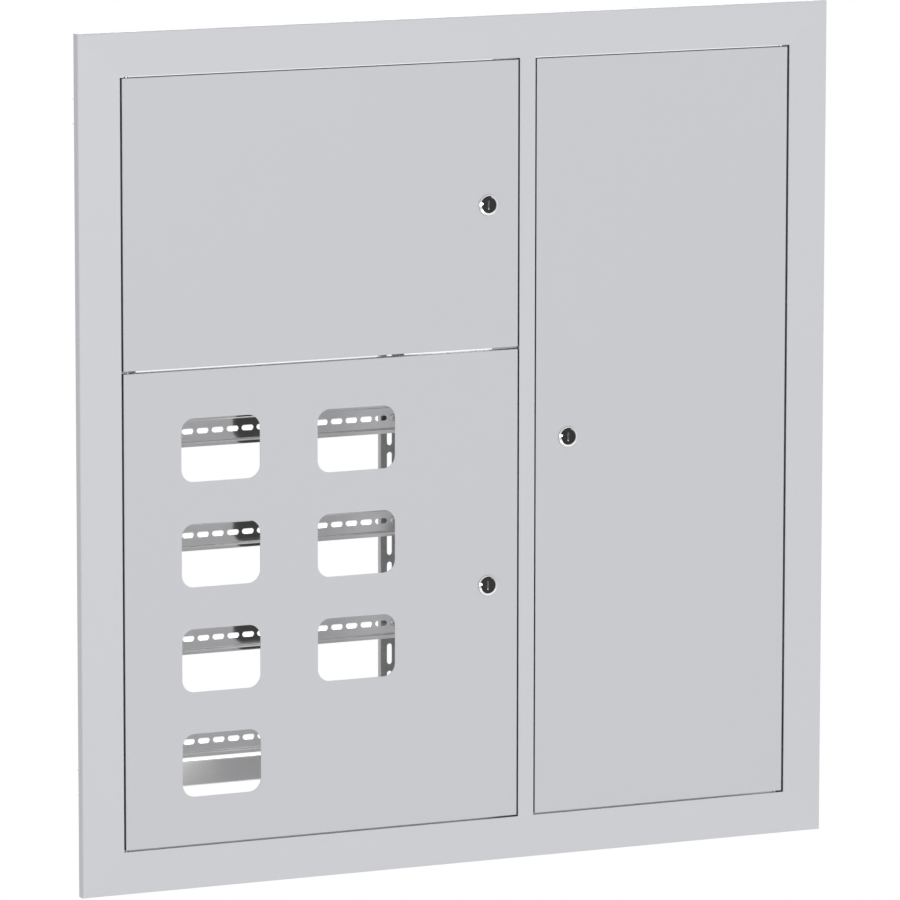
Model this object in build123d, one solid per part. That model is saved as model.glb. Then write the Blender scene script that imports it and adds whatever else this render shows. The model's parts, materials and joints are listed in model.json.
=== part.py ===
from build123d import *
import os

# Front frame and overall depth
WIDTH = 950.0
HEIGHT = 1000.0
DEPTH = 150.0
BORDER = 50.4
FRAME_SHEET = 1.5
FACE_FALL = 2.5
OUTER_EDGE = 14.5
EDGE_ROUND = 1.8
INNER_RETURN = 28.0

# Doors and the gaps around them
DOOR_SHEET = 1.2
DOOR_FOLD = 10.0
DOOR_ROUND = 0.8
SIDE_GAP = 2.6
END_GAP = 2.0
MULLION_GAP = 1.9
STACK_GAP = 3.0
MULLION = 19.7
RIGHT_OPENING = 329.8
LOWER_DOOR_RISE = 559.0

# Seven windows in the lower left door
WINDOW_WIDTH = 98.0
WINDOW_HEIGHT = 74.0
WINDOW_CORNER = 15.0
WINDOW_ROW_PITCH = 123.0
WINDOW_COLUMN_PITCH = 170.0
WINDOW_SIDE_INSET = 122.35
WINDOW_BOTTOM_INSET = 95.5
LEFT_WINDOWS = 4
RIGHT_WINDOWS = 3

# Hinge pins stand inside the doors' folds
PIN = 4.5
PIN_FIT = 0.05
PIN_INSET = 6.75
PIN_REACH = 8.0
PIN_HEAD = 6.4
PIN_HEAD_HEIGHT = 1.8
BRACKET_SHEET = 1.5
BRACKET_PLATE = 14.8
BRACKET_SETBACK = 2.0
BRACKET_TAB_DEPTH = 12.0
BRACKET_TAB_HEIGHT = 34.0
RIVET = 4.0
RIVET_HEAD = 7.0
RIVET_HEAD_HEIGHT = 1.2

# Cam locks
LOCK_INSET_LEFT = 38.2
LOCK_INSET_RIGHT = 41.3
LOCK_RING = 24.0
LOCK_PROUD = 2.2
LOCK_BARREL = 20.0
LOCK_FLATS = 18.0
LOCK_CORE = 14.0
LOCK_FACE = 22.2
LOCK_FACE_SEAT = 0.4
LOCK_FIT = 0.05
LIP = 0.7
LIP_GAP = 0.1
LIP_OPENING = 18.6
LIP_WINDOW = 22.0
LIP_WINDOW_START = 72.0
LIP_WINDOW_END = 158.0
LIP_TOOTH = 2.2
LIP_TOOTH_REACH = 1.5
LIP_TOOTH_TURN = 166.0
KEY_WIDTH = 2.3
KEY_HEIGHT = 11.0
KEY_DEPTH = 8.0
LOCK_NUT = 24.0
LOCK_NUT_HEIGHT = 4.0
CAM_GAP = 0.4
CAM_SHEET = 2.5
CAM_WIDTH = 16.0
CAM_TIP_ROUND = 3.0
CAM_CATCH = 3.5
CAM_SQUARE = 7.0
CAM_SCREW = 5.0
CAM_SCREW_HEAD = 10.5
CAM_SCREW_HEAD_HEIGHT = 3.0
CAM_SCREW_LENGTH = 10.0

# Partition between the two compartments
PARTITION_SHEET = 1.2
PARTITION_DEPTH = 98.0
PARTITION_FLANGE = 6.5
PARTITION_REAR_FOLD = 12.0
PARTITION_END_GAP = 1.0
PARTITION_HOLE = 8.0
PARTITION_HOLE_DEPTH = 36.0
PARTITION_HOLE_PITCH = 217.0
PARTITION_HOLES = 4

# Cross channels that go against the wall
CHANNEL_HEIGHT = 30.0
CHANNEL_DEPTH = 10.0
CHANNEL_SHEET = 1.2
CHANNEL_INSET = 54.8
CHANNEL_END_GAP = 0.7
WALL_HOLE = 9.0
WALL_HOLE_INSET = 94.6

# Straps from the frame back to the channels
STRAP_SHEET = 1.5
STRAP_HEIGHT = 30.0
STRAP_START = 15.0
STRAP_FOOT = 28.0
STRAP_SCREW_INSET = 6.5
STRAP_SCREW_PITCH = 16.0

# Slotted uprights, open to the front
UPRIGHT_WIDTH = 30.0
UPRIGHT_DEPTH = 10.0
UPRIGHT_SHEET = 1.2
UPRIGHT_SIDE_INSET = 54.21
UPRIGHT_MULLION_INSET = 104.75
SLOT_WIDTH = 6.5
SLOT_LENGTH = 24.6
SLOT_PITCH = 32.9
SLOT_START = 25.5
SLOT_LAND = 6.0

# Top-hat mounting rails
RAIL_HEIGHT = 35.0
RAIL_BASE = 27.0
RAIL_DEPTH = 7.5
RAIL_SHEET = 1.0
RAIL_SLOT_LENGTH = 15.0
RAIL_SLOT_WIDTH = 6.2
RAIL_SLOT_PITCH = 18.93
RAIL_SLOT_SHIFT = 3.6
RAIL_OVERHANG_SLOTS = 1
RAILS_ABOVE = 2

# Screws and nuts
SCREW_FIT = 0.25
M5 = 5.0
M5_HEAD = 8.4
M5_HEAD_HEIGHT = 2.8
M5_NUT = 8.0
M5_NUT_HEIGHT = 4.0
M6 = 6.0
M6_HEAD = 10.5
M6_HEAD_HEIGHT = 3.6
M6_NUT = 10.0
M6_NUT_HEIGHT = 5.0
THREAD_SPARE = 2.0
BEND_INSIDE = 0.8

# Welded earth studs
STUD = 6.0
STUD_LENGTH = 13.0
STUD_INSET = 32.0
STUD_RISE = 119.6
CUT = 1.0

# Places that follow from the sizes above
BACK_Y = CHANNEL_DEPTH
FRONT_Y = BACK_Y - DEPTH
OPEN_X = WIDTH / 2 - BORDER
OPEN_Z = HEIGHT / 2 - BORDER
MULLION_RIGHT = OPEN_X - RIGHT_OPENING
MULLION_LEFT = MULLION_RIGHT - MULLION
MULLION_X = (MULLION_LEFT + MULLION_RIGHT) / 2
STACK_GAP_Z = LOWER_DOOR_RISE - OPEN_Z
DOOR_TOP = OPEN_Z - END_GAP
RETURN_Y = FRONT_Y + INNER_RETURN
HINGE_X = OPEN_X - SIDE_GAP - PIN_INSET
HINGE_Y = FRONT_Y + DOOR_FOLD / 2
WINDOW_LEFT_X = WINDOW_SIDE_INSET - OPEN_X
WINDOW_BOTTOM_Z = WINDOW_BOTTOM_INSET - OPEN_Z
CHANNEL_Z = OPEN_Z - CHANNEL_INSET
WALL_HOLE_X = OPEN_X - WALL_HOLE_INSET
RAIL_Y = -UPRIGHT_DEPTH
UPRIGHT_LEFT_X = UPRIGHT_SIDE_INSET - OPEN_X
RAIL_PITCHES = round((MULLION_LEFT - UPRIGHT_MULLION_INSET - UPRIGHT_LEFT_X) / RAIL_SLOT_PITCH)
UPRIGHT_RIGHT_X = UPRIGHT_LEFT_X + RAIL_PITCHES * RAIL_SLOT_PITCH
CAM_Y = RETURN_Y + CAM_GAP

DOORS = {
    "door_1": ((-OPEN_X + SIDE_GAP, MULLION_LEFT - MULLION_GAP), (STACK_GAP_Z + STACK_GAP / 2, DOOR_TOP)),
    "door_2": ((-OPEN_X + SIDE_GAP, MULLION_LEFT - MULLION_GAP), (-DOOR_TOP, STACK_GAP_Z - STACK_GAP / 2)),
    "door_3": ((MULLION_RIGHT + MULLION_GAP, OPEN_X - SIDE_GAP), (-DOOR_TOP, DOOR_TOP)),
}


def middle(limits):
    return (limits[0] + limits[1]) / 2


def block(x, y, z):
    """Box between two limits on each axis."""
    return Pos(middle(x), middle(y), middle(z)) * Box(x[1] - x[0], y[1] - y[0], z[1] - z[0])


def rod_y(x, z, y, diameter):
    """Round bar along Y between two depths."""
    bar = Rot(90, 0, 0) * Cylinder(diameter / 2, y[1] - y[0])
    return Pos(x, middle(y), z) * bar


def rod_x(y, z, x, diameter):
    """Round bar along X between two places."""
    bar = Rot(0, 90, 0) * Cylinder(diameter / 2, x[1] - x[0])
    return Pos(middle(x), y, z) * bar


def rod_z(x, y, z, diameter):
    """Round bar along Z between two heights."""
    return Pos(x, y, middle(z)) * Cylinder(diameter / 2, z[1] - z[0])


def hexagon_y(x, z, y, across_flats):
    """Hexagonal bar along Y, with a flat at each side."""
    place = Plane((x, y[0], z), x_dir=(0, 0, 1), z_dir=(0, 1, 0))
    return extrude(place * RegularPolygon(across_flats / 2, 6, major_radius=False), y[1] - y[0])


def folded(points, sheet):
    """Section of a sheet folded along points, its thickness to the left and its bends rounded."""
    path = FilletPolyline(*points, radius=BEND_INSIDE + sheet)
    return make_face(offset(path, amount=sheet, side=Side.LEFT, kind=Kind.INTERSECTION))


def along_x(section, x):
    """Profile drawn in Y and Z, run between two places in X."""
    return extrude(Plane((x[0], 0, 0), x_dir=(0, 1, 0), z_dir=(1, 0, 0)) * section, x[1] - x[0])


def along_z(section, z):
    """Profile drawn in X and Y, run between two heights."""
    return extrude(Plane((0, 0, z[0])) * section, z[1] - z[0])


def slots_y(places, length, width, y, turned=0):
    """Round-ended slots cut through a sheet that faces forward."""
    shape = Plane((0, y[0], 0), x_dir=(1, 0, 0), z_dir=(0, -1, 0))
    shape = Sketch() + [shape * Pos(x, z) * SlotOverall(length, width, rotation=turned) for x, z in places]
    return extrude(shape, y[0] - y[1])


def group(solids):
    """Separate solids that share one name."""
    return Compound(children=[part if isinstance(part, Solid) else part.solid() for part in solids])


def save(name, part):
    export_step(part, os.path.join("parts", name + ".step"))


# Front frame, one folded sheet with both door openings
def folded_front(inset, back):
    """Two crossing prisms: a flat middle, a border that falls away all round, and an edge turned back."""
    front = FRONT_Y + inset
    rim = front + FACE_FALL

    def outline(flat, half):
        return [(-half, back), (-half, rim), (-flat, front), (flat, front), (half, rim), (half, back)]

    wide = WIDTH / 2 - inset
    high = HEIGHT / 2 - inset
    across = make_face(Polyline(*outline(OPEN_X, wide), close=True))
    upright = make_face(Polyline(*[(y, z) for z, y in outline(OPEN_Z, high)], close=True))
    return along_z(across, (-high, high)) & along_x(upright, (-wide, wide))


def front_frame():
    shell = folded_front(0.0, FRONT_Y + OUTER_EDGE)
    shell = fillet(shell.edges().group_by(Axis.Y)[2], EDGE_ROUND)
    shell -= folded_front(FRAME_SHEET, FRONT_Y + OUTER_EDGE + CUT)
    for x in ((-OPEN_X, MULLION_LEFT), (MULLION_RIGHT, OPEN_X)):
        wide = (x[0] - FRAME_SHEET, x[1] + FRAME_SHEET)
        high = (-OPEN_Z - FRAME_SHEET, OPEN_Z + FRAME_SHEET)
        shell += block(wide, (FRONT_Y + FRAME_SHEET / 2, RETURN_Y), high)
        shell -= block(x, (FRONT_Y - CUT, RETURN_Y + CUT), (-OPEN_Z, OPEN_Z))
    for side, z in pin_ends():
        shell -= rod_z(side * HINGE_X, HINGE_Y, (z - 2 * FRAME_SHEET, z + 2 * FRAME_SHEET), PIN + 2 * PIN_FIT)
    for side, z in strap_places():
        for hole_z in strap_screw_heights(z):
            x = (side * OPEN_X - 2 * FRAME_SHEET, side * OPEN_X + 2 * FRAME_SHEET)
            shell -= rod_x(strap_screw_y(), hole_z, x, M5 + 2 * SCREW_FIT)
    for z in bracket_rivets():
        x = (-OPEN_X - 2 * FRAME_SHEET, -OPEN_X + 2 * FRAME_SHEET)
        shell -= rod_x(bracket_rivet_y(), z, x, RIVET + 2 * PIN_FIT)
    return shell


# Hinges
def pin_ends():
    """Side and height of each pin that stands in the frame's top or bottom return."""
    return [(-1, OPEN_Z), (-1, -OPEN_Z), (1, OPEN_Z), (1, -OPEN_Z)]


def end_pin(side, z):
    up = 1 if z > 0 else -1
    seat = z + up * FRAME_SHEET
    tip = z - up * (END_GAP + PIN_REACH)
    shank = rod_z(side * HINGE_X, HINGE_Y, sorted((tip, seat)), PIN)
    head = rod_z(side * HINGE_X, HINGE_Y, sorted((seat, seat + up * PIN_HEAD_HEIGHT)), PIN_HEAD)
    return shank + head


def middle_pin():
    reach = STACK_GAP / 2 + PIN_REACH
    return rod_z(-HINGE_X, HINGE_Y, (STACK_GAP_Z - reach, STACK_GAP_Z + reach), PIN)


def bracket_rivets():
    plate_bottom = STACK_GAP_Z - BRACKET_SHEET / 2
    return [plate_bottom - BRACKET_TAB_HEIGHT * share for share in (1 / 3, 3 / 4)]


def bracket_rivet_y():
    return RETURN_Y - BRACKET_TAB_DEPTH / 2


def middle_bracket():
    """Angle in the gap between the two left doors, its tab folded down on the frame."""
    plate_z = (STACK_GAP_Z - BRACKET_SHEET / 2, STACK_GAP_Z + BRACKET_SHEET / 2)
    plate = block((-OPEN_X, -OPEN_X + BRACKET_PLATE), (FRONT_Y + BRACKET_SETBACK, RETURN_Y), plate_z)
    corner = plate.edges().filter_by(Axis.Z).group_by(Axis.X)[-1]
    plate = fillet(corner, PIN)
    tab_z = (plate_z[0] - BRACKET_TAB_HEIGHT, plate_z[1])
    tab = block((-OPEN_X, -OPEN_X + BRACKET_SHEET), (RETURN_Y - BRACKET_TAB_DEPTH, RETURN_Y), tab_z)
    bracket = plate + tab
    bracket -= rod_z(-HINGE_X, HINGE_Y, (plate_z[0] - CUT, plate_z[1] + CUT), PIN + 2 * PIN_FIT)
    for z in bracket_rivets():
        through = (-OPEN_X - CUT, -OPEN_X + BRACKET_SHEET + CUT)
        bracket -= rod_x(bracket_rivet_y(), z, through, RIVET + 2 * PIN_FIT)
    return bracket


def bracket_rivet(z):
    inner = -OPEN_X + BRACKET_SHEET
    outer = -OPEN_X - FRAME_SHEET
    shank = rod_x(bracket_rivet_y(), z, (outer, inner), RIVET)
    heads = rod_x(bracket_rivet_y(), z, (inner, inner + RIVET_HEAD_HEIGHT), RIVET_HEAD)
    heads += rod_x(bracket_rivet_y(), z, (outer - RIVET_HEAD_HEIGHT, outer), RIVET_HEAD)
    return shank + heads


# Doors, each a shallow pan folded from one sheet
def window_places():
    left = [(WINDOW_LEFT_X, WINDOW_BOTTOM_Z + row * WINDOW_ROW_PITCH) for row in range(LEFT_WINDOWS)]
    skipped = LEFT_WINDOWS - RIGHT_WINDOWS
    right_x = WINDOW_LEFT_X + WINDOW_COLUMN_PITCH
    right = [(right_x, WINDOW_BOTTOM_Z + (row + skipped) * WINDOW_ROW_PITCH) for row in range(RIGHT_WINDOWS)]
    return left + right


def hinge_side(name):
    return 1 if name == "door_3" else -1


def lock_place(name):
    x, z = DOORS[name]
    if name == "door_3":
        return x[0] + LOCK_INSET_RIGHT, middle(z)
    return x[1] - LOCK_INSET_LEFT, middle(z)


def door(name):
    x, z = DOORS[name]
    pan = block(x, (FRONT_Y, FRONT_Y + DOOR_FOLD), z)
    pan = fillet(pan.faces().sort_by(Axis.Y)[0].edges(), DOOR_ROUND)
    hollow_x = (x[0] + DOOR_SHEET, x[1] - DOOR_SHEET)
    hollow_z = (z[0] + DOOR_SHEET, z[1] - DOOR_SHEET)
    pan -= block(hollow_x, (FRONT_Y + DOOR_SHEET, FRONT_Y + DOOR_FOLD + CUT), hollow_z)
    pin_x = hinge_side(name) * HINGE_X
    for edge in z:
        pan -= rod_z(pin_x, HINGE_Y, (edge - 2 * DOOR_SHEET, edge + 2 * DOOR_SHEET), PIN + 2 * PIN_FIT)
    lock_x, lock_z = lock_place(name)
    pan -= double_d(lock_x, lock_z, (FRONT_Y - CUT, FRONT_Y + 2 * DOOR_SHEET), SCREW_FIT)
    if name == "door_2":
        for window_x, window_z in window_places():
            opening = RectangleRounded(WINDOW_WIDTH, WINDOW_HEIGHT, WINDOW_CORNER)
            place = Plane((window_x, FRONT_Y - CUT, window_z), x_dir=(1, 0, 0), z_dir=(0, 1, 0))
            pan -= extrude(place * opening, DOOR_SHEET + 2 * CUT)
    return pan


def door_stud(name):
    x, z = DOORS[name]
    side = hinge_side(name)
    edge = x[1] if side > 0 else x[0]
    y = (FRONT_Y + DOOR_SHEET, FRONT_Y + DOOR_SHEET + STUD_LENGTH)
    return rod_y(edge - side * STUD_INSET, z[0] + STUD_INSET, y, STUD)


def frame_stud():
    y = RETURN_Y - BRACKET_TAB_DEPTH / 2
    return rod_x(y, STUD_RISE - OPEN_Z, (-OPEN_X, -OPEN_X + STUD_LENGTH), STUD)


# Cam locks
def double_d(x, z, y, grow=0.0):
    """Round barrel with a flat down each side."""
    barrel = rod_y(x, z, y, LOCK_BARREL + 2 * grow)
    reach = LOCK_FLATS / 2 + grow
    return barrel & block((x - reach, x + reach), y, (z - LOCK_BARREL, z + LOCK_BARREL))


def lip_opening():
    """Round opening in the lip, wider over one quarter, with a tooth that holds the core in."""
    turns = (LIP_WINDOW_START, (LIP_WINDOW_START + LIP_WINDOW_END) / 2, LIP_WINDOW_END)
    rim = [Vector(LOCK_RING, 0).rotate(Axis.Z, turn) for turn in turns]
    quarter = Circle(LIP_WINDOW / 2) & make_face(Polyline((0, 0), *rim, close=True))
    reach = LIP_OPENING / 2 - LIP_TOOTH_REACH + LOCK_RING / 2
    tooth = Rot(0, 0, LIP_TOOTH_TURN) * Pos(reach, 0) * Rectangle(LOCK_RING, LIP_TOOTH)
    return Circle(LIP_OPENING / 2) + quarter - tooth


def lock_housing(name):
    """Threaded barrel with two flats, and a proud ring whose lip covers the rim of the core."""
    x, z = lock_place(name)
    ring = rod_y(x, z, (FRONT_Y - LOCK_PROUD, FRONT_Y), LOCK_RING)
    ring = fillet(ring.edges().sort_by(Axis.Y)[0], LOCK_PROUD / 3)
    housing = ring + double_d(x, z, (FRONT_Y, CAM_Y - CAM_GAP / 2))
    housing -= rod_y(x, z, (FRONT_Y - LOCK_PROUD + LIP, CAM_Y), LOCK_CORE + 2 * LOCK_FIT)
    seat = (FRONT_Y - LOCK_PROUD + LIP, FRONT_Y - LOCK_FACE_SEAT / 2)
    housing -= rod_y(x, z, seat, LOCK_FACE + 2 * LOCK_FIT)
    front = Plane((x, seat[0], z), x_dir=(1, 0, 0), z_dir=(0, -1, 0))
    return housing - extrude(front * lip_opening(), LIP + CUT)


def lock_nut(name):
    x, z = lock_place(name)
    y = (FRONT_Y + DOOR_SHEET, FRONT_Y + DOOR_SHEET + LOCK_NUT_HEIGHT)
    return hexagon_y(x, z, y, LOCK_NUT) - rod_y(x, z, y, LOCK_BARREL + 2 * LOCK_FIT)


def lock_plug(name):
    """Turning core with the keyway, squared at its inner end for the cam."""
    x, z = lock_place(name)
    front = FRONT_Y - LOCK_PROUD + LIP + LIP_GAP
    back = FRONT_Y - LOCK_FACE_SEAT
    plug = rod_y(x, z, (front, back), LOCK_FACE)
    plug += rod_y(x, z, (back, CAM_Y), LOCK_CORE)
    half = CAM_SQUARE / 2
    plug += block((x - half, x + half), (CAM_Y, CAM_Y + CAM_SHEET), (z - half, z + half))
    key = (front - CUT, front + KEY_DEPTH)
    plug -= block((x - KEY_WIDTH / 2, x + KEY_WIDTH / 2), key, (z - KEY_HEIGHT / 2, z + KEY_HEIGHT / 2))
    tip = CAM_Y + CAM_SHEET
    plug -= rod_y(x, z, (tip - CAM_SCREW_LENGTH - CUT, tip + CUT), CAM_SCREW + 2 * LOCK_FIT)
    return plug


def lock_cam(name):
    """Tongue that stands up at rest and turns a quarter towards the mullion."""
    x, z = lock_place(name)
    inset = LOCK_INSET_RIGHT if name == "door_3" else LOCK_INSET_LEFT
    reach = inset + MULLION_GAP + FRAME_SHEET + CAM_CATCH
    place = Plane((x, CAM_Y, z), x_dir=(-1, 0, 0), z_dir=(0, 1, 0))
    blade = Pos(0, reach / 2) * Rectangle(CAM_WIDTH, reach)
    blade = fillet(blade.vertices().group_by(Axis.Y)[-1], CAM_TIP_ROUND)
    outline = blade + Circle(CAM_WIDTH / 2) - Rectangle(CAM_SQUARE + 2 * LOCK_FIT, CAM_SQUARE + 2 * LOCK_FIT)
    return extrude(place * outline, CAM_SHEET)


def cam_screw(name):
    x, z = lock_place(name)
    seat = CAM_Y + CAM_SHEET
    head = rod_y(x, z, (seat, seat + CAM_SCREW_HEAD_HEIGHT), CAM_SCREW_HEAD)
    return head + rod_y(x, z, (seat - CAM_SCREW_LENGTH, seat), CAM_SCREW)


# Partition behind the mullion, folded from one sheet
def partition():
    left = MULLION_X - PARTITION_SHEET / 2
    front = FRONT_Y + FRAME_SHEET
    back = FRONT_Y + FRAME_SHEET + PARTITION_DEPTH
    path = [(left + PARTITION_FLANGE, front), (left, front), (left, back), (left + PARTITION_REAR_FOLD, back)]
    half = OPEN_Z - PARTITION_END_GAP
    sheet = along_z(folded(path[::-1], PARTITION_SHEET), (-half, half))
    for step in range(PARTITION_HOLES):
        z = (step - (PARTITION_HOLES - 1) / 2) * PARTITION_HOLE_PITCH
        through = (left - CUT, left + PARTITION_SHEET + CUT)
        sheet -= rod_x(FRONT_Y + PARTITION_HOLE_DEPTH, z, through, PARTITION_HOLE)
    return sheet


# Straps, channels and their screws
def strap_places():
    return [(side, z) for side in (-1, 1) for z in (-CHANNEL_Z, CHANNEL_Z)]


def strap_screw_y():
    return RETURN_Y - STRAP_SCREW_INSET


def strap_screw_heights(z):
    return [z - STRAP_SCREW_PITCH / 2, z + STRAP_SCREW_PITCH / 2]


def foot_screw_x(side):
    return side * (OPEN_X - STRAP_FOOT / 2)


def strap(side, z):
    """Angle that carries one end of a channel from the frame's side return."""
    path = [(0, FRONT_Y + STRAP_START), (0, 0), (STRAP_FOOT, 0)]
    section = folded(path[::-1], STRAP_SHEET)
    angle = Pos(-OPEN_X, 0, 0) * along_z(section, (z - STRAP_HEIGHT / 2, z + STRAP_HEIGHT / 2))
    for hole_z in strap_screw_heights(z):
        x = (-OPEN_X - CUT, -OPEN_X + STRAP_SHEET + CUT)
        angle -= rod_x(strap_screw_y(), hole_z, x, M5 + 2 * SCREW_FIT)
    angle -= rod_y(foot_screw_x(-1), z, (-STRAP_SHEET - CUT, CUT), M6 + 2 * SCREW_FIT)
    return angle if side < 0 else mirror(angle, Plane.YZ)


def channel(z):
    """Shallow channel, web to the front, that the wall screws pass through."""
    half = CHANNEL_HEIGHT / 2
    path = [(BACK_Y, z - half), (0, z - half), (0, z + half), (BACK_Y, z + half)]
    end = OPEN_X - CHANNEL_END_GAP
    profile = along_x(folded(path[::-1], CHANNEL_SHEET), (-end, end))
    through = (-CUT, CHANNEL_SHEET + CUT)
    for side in (-1, 1):
        profile -= rod_y(side * WALL_HOLE_X, z, through, WALL_HOLE)
        profile -= rod_y(foot_screw_x(side), z, through, M6 + 2 * SCREW_FIT)
    for x in (UPRIGHT_LEFT_X, UPRIGHT_RIGHT_X):
        profile -= rod_y(x, z, through, M6 + 2 * SCREW_FIT)
    return profile


def strap_screw(side, z):
    """Pan-head screw and its nut through a strap and the frame's side return."""
    seat = OPEN_X - STRAP_SHEET
    end = OPEN_X + FRAME_SHEET + M5_NUT_HEIGHT
    head = rod_x(strap_screw_y(), z, (seat - M5_HEAD_HEIGHT, seat), M5_HEAD)
    screw = head + rod_x(strap_screw_y(), z, (seat, end + THREAD_SPARE), M5)
    return screw if side > 0 else mirror(screw, Plane.YZ)


def strap_nut(side, z):
    seat = OPEN_X + FRAME_SHEET
    place = Plane((seat, strap_screw_y(), z), x_dir=(0, 1, 0), z_dir=(1, 0, 0))
    ring = RegularPolygon(M5_NUT / 2, 6, major_radius=False) - Circle(M5 / 2 + PIN_FIT)
    nut = extrude(place * ring, M5_NUT_HEIGHT)
    return nut if side > 0 else mirror(nut, Plane.YZ)


def bolt_y(x, z, seat, grip, diameter, head, head_height, nut_height):
    """Pan-head screw that points back, from its seat to past the nut."""
    cap = rod_y(x, z, (seat - head_height, seat), head)
    return cap + rod_y(x, z, (seat, seat + grip + nut_height + THREAD_SPARE), diameter)


def nut_y(x, z, seat, diameter, across_flats, height):
    y = (seat, seat + height)
    return hexagon_y(x, z, y, across_flats) - rod_y(x, z, y, diameter + 2 * PIN_FIT)


# Uprights and the rails across them
def upright(x):
    """Slotted channel, web at the back, bolted to both cross channels."""
    half = UPRIGHT_WIDTH / 2
    path = [(x - half, RAIL_Y), (x - half, 0), (x + half, 0), (x + half, RAIL_Y)]
    end = CHANNEL_Z + CHANNEL_HEIGHT / 2
    profile = along_z(folded(path[::-1], UPRIGHT_SHEET), (-end, end))
    limit = CHANNEL_Z - M6 / 2 - SLOT_LAND - SLOT_LENGTH / 2
    steps = range(round(2 * limit / SLOT_PITCH) + 2)
    heights = [SLOT_START - CHANNEL_Z + SLOT_PITCH * step for step in steps]
    places = [(x, z) for z in heights if abs(z) <= limit]
    through = (CUT, -UPRIGHT_SHEET - CUT)
    profile -= slots_y(places, SLOT_LENGTH, SLOT_WIDTH, through, turned=90)
    for z in (-CHANNEL_Z, CHANNEL_Z):
        profile -= rod_y(x, z, through[::-1], M6 + 2 * SCREW_FIT)
    for z in rail_heights():
        profile -= rod_y(x, z, through[::-1], M5 + 2 * SCREW_FIT)
    return profile


def rail_heights():
    """One rail behind each row of windows and more behind the upper door."""
    return [WINDOW_BOTTOM_Z + WINDOW_ROW_PITCH * row for row in range(LEFT_WINDOWS + RAILS_ABOVE)]


def rail(z):
    """Top-hat rail with a row of slots in its base."""
    first = UPRIGHT_LEFT_X + RAIL_SLOT_SHIFT - RAIL_OVERHANG_SLOTS * RAIL_SLOT_PITCH
    count = RAIL_PITCHES + 1 + 2 * RAIL_OVERHANG_SLOTS
    start = first - RAIL_SLOT_PITCH / 2
    profile = along_x(Pos(0, z) * hat_section(), (start, start + count * RAIL_SLOT_PITCH))
    places = [(first + step * RAIL_SLOT_PITCH, z) for step in range(count)]
    through = (RAIL_Y + CUT, RAIL_Y - RAIL_SHEET - CUT)
    return profile - slots_y(places, RAIL_SLOT_LENGTH, RAIL_SLOT_WIDTH, through)


def hat_section():
    """Base against the uprights, walls forward, lips outward at the front, every bend rounded."""
    back = RAIL_Y - RAIL_SHEET / 2
    front = RAIL_Y - RAIL_DEPTH + RAIL_SHEET / 2
    wall = RAIL_BASE / 2 - RAIL_SHEET / 2
    lip = RAIL_HEIGHT / 2
    half = [(back, wall), (front, wall), (front, lip)]
    other = [(y, -z) for y, z in reversed(half)]
    return trace(FilletPolyline(*other, *half, radius=BEND_INSIDE + RAIL_SHEET / 2), RAIL_SHEET)


def main():
    os.makedirs("parts", exist_ok=True)
    save("front_frame", front_frame())
    save("compartment_partition", partition())
    save("middle_hinge_bracket", middle_bracket())
    save("middle_hinge_rivets", group([bracket_rivet(z) for z in bracket_rivets()]))
    save("middle_hinge_pin", middle_pin())
    for side, z in pin_ends():
        across = "left" if side < 0 else "right"
        end = "top" if z > 0 else "bottom"
        save(f"hinge_pin_{end}_{across}", end_pin(side, z))
    for name in DOORS:
        number = name[-1]
        save(name, door(name))
        save(f"lock_housing_{number}", lock_housing(name))
        save(f"lock_nut_{number}", lock_nut(name))
        save(f"lock_plug_{number}", lock_plug(name))
        save(f"lock_cam_{number}", lock_cam(name))
        save(f"cam_screw_{number}", cam_screw(name))
        save(f"earth_stud_{number}", door_stud(name))
    save("earth_stud_frame", frame_stud())

    for end, z in (("bottom", -CHANNEL_Z), ("top", CHANNEL_Z)):
        save(f"cross_channel_{end}", channel(z))
        for across, side in (("left", -1), ("right", 1)):
            save(f"side_strap_{end}_{across}", strap(side, z))
    frame_screws = [(side, height) for side, z in strap_places() for height in strap_screw_heights(z)]
    save("strap_screws", group([strap_screw(side, z) for side, z in frame_screws]))
    save("strap_nuts", group([strap_nut(side, z) for side, z in frame_screws]))

    feet = [(foot_screw_x(side), z) for side, z in strap_places()]
    size = (M6, M6_HEAD, M6_HEAD_HEIGHT, M6_NUT_HEIGHT)
    grip = STRAP_SHEET + CHANNEL_SHEET
    save("strap_foot_screws", group([bolt_y(x, z, -STRAP_SHEET, grip, *size) for x, z in feet]))
    save("strap_foot_nuts", group([nut_y(x, z, CHANNEL_SHEET, M6, M6_NUT, M6_NUT_HEIGHT) for x, z in feet]))

    uprights = {"left": UPRIGHT_LEFT_X, "right": UPRIGHT_RIGHT_X}
    for across, x in uprights.items():
        save(f"upright_{across}", upright(x))
    crossings = [(x, z) for x in uprights.values() for z in (-CHANNEL_Z, CHANNEL_Z)]
    grip = UPRIGHT_SHEET + CHANNEL_SHEET
    save("upright_screws", group([bolt_y(x, z, -UPRIGHT_SHEET, grip, *size) for x, z in crossings]))
    save("upright_nuts", group([nut_y(x, z, CHANNEL_SHEET, M6, M6_NUT, M6_NUT_HEIGHT) for x, z in crossings]))

    for number, z in enumerate(rail_heights(), start=1):
        save(f"mounting_rail_{number}", rail(z))
    fixings = [(x, z) for x in uprights.values() for z in rail_heights()]
    seat = RAIL_Y - RAIL_SHEET
    size = (M5, M5_HEAD, M5_HEAD_HEIGHT, M5_NUT_HEIGHT)
    save("rail_screws", group([bolt_y(x, z, seat, -seat, *size) for x, z in fixings]))
    save("rail_nuts", group([nut_y(x, z, 0.0, M5, M5_NUT, M5_NUT_HEIGHT) for x, z in fixings]))


main()
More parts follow.
